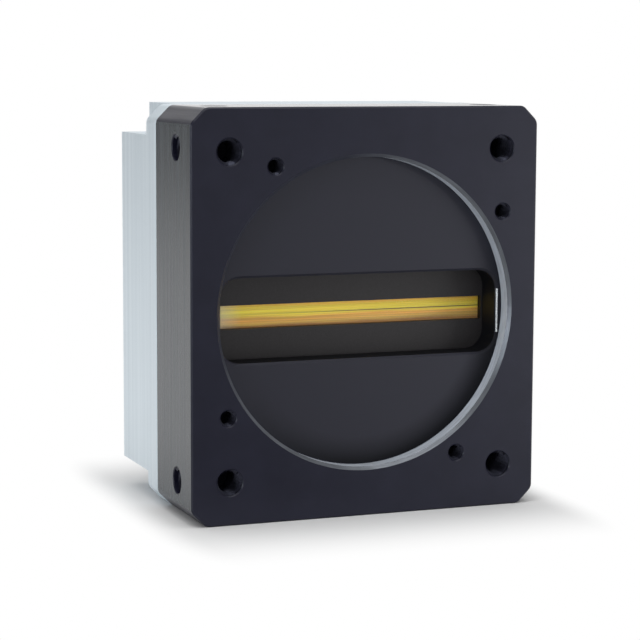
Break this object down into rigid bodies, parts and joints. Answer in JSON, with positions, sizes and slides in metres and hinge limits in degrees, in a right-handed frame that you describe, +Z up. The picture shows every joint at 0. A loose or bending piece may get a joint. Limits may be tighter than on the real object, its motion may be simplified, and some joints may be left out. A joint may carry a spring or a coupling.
{
  "type": "line-scan machine vision camera",
  "caption": "Compact box camera for machine vision: black front module with a round lens recess and a slot-shaped line sensor, silver rear housing, and network and round plug sockets behind.",
  "frame": {"origin": "where the optical axis leaves the front face, at the centre of the lens recess and of its screw circle", "axes": "+Z up the body, +Y from the front face back to the connectors, +X across the body"},
  "size_m": [0.056, 0.0489, 0.062],
  "materials": {
    "black_anodised": "matt black anodised",
    "silver_anodised": "satin natural anodised",
    "black_mask": "matt black",
    "seal_rubber": "matt",
    "cover_glass": "polished, coated",
    "sensor_gold": "polished silicon with a gold sheen",
    "package_ceramic": "matt dark ceramic",
    "gold_contact": "gold plated",
    "circuit_board": "green solder mask",
    "steel_screw": "machined stainless",
    "connector_plastic": "moulded black",
    "chip_plastic": "moulded black",
    "brass_spacer": "turned",
    "plated_shell": "satin nickel plated",
    "led_body": "moulded",
    "clear_pipe": "clear moulded"
  },
  "bodies": {
    "root": {"front_module": "black_anodised", "sensor_mask": "black_mask", "sensor_gasket": "seal_rubber", "sensor_glass": "cover_glass", "sensor_die": "sensor_gold", "sensor_package": "package_ceramic", "sensor_pins": "gold_contact", "sensor_board": "circuit_board", "sensor_board_screws": "steel_screw", "sensor_board_plug": "connector_plastic", "processor_board_socket": "connector_plastic", "processor_board": "circuit_board", "processor_chip": "chip_plastic", "memory_chips": "chip_plastic", "processor_board_plug": "connector_plastic", "interface_board_socket": "connector_plastic", "board_spacers": "brass_spacer", "board_screws": "steel_screw", "interface_board": "circuit_board", "housing": "silver_anodised", "housing_screws": "steel_screw", "jack_shield": "plated_shell", "jack_insert": "connector_plastic", "jack_contacts": "gold_contact", "io_shell": "plated_shell", "io_insert": "connector_plastic", "io_pins": "gold_contact", "power_shell": "plated_shell", "power_insert": "connector_plastic", "power_pins": "gold_contact", "status_led": "led_body", "light_pipe": "clear_pipe"}
  },
  "joints": []
}
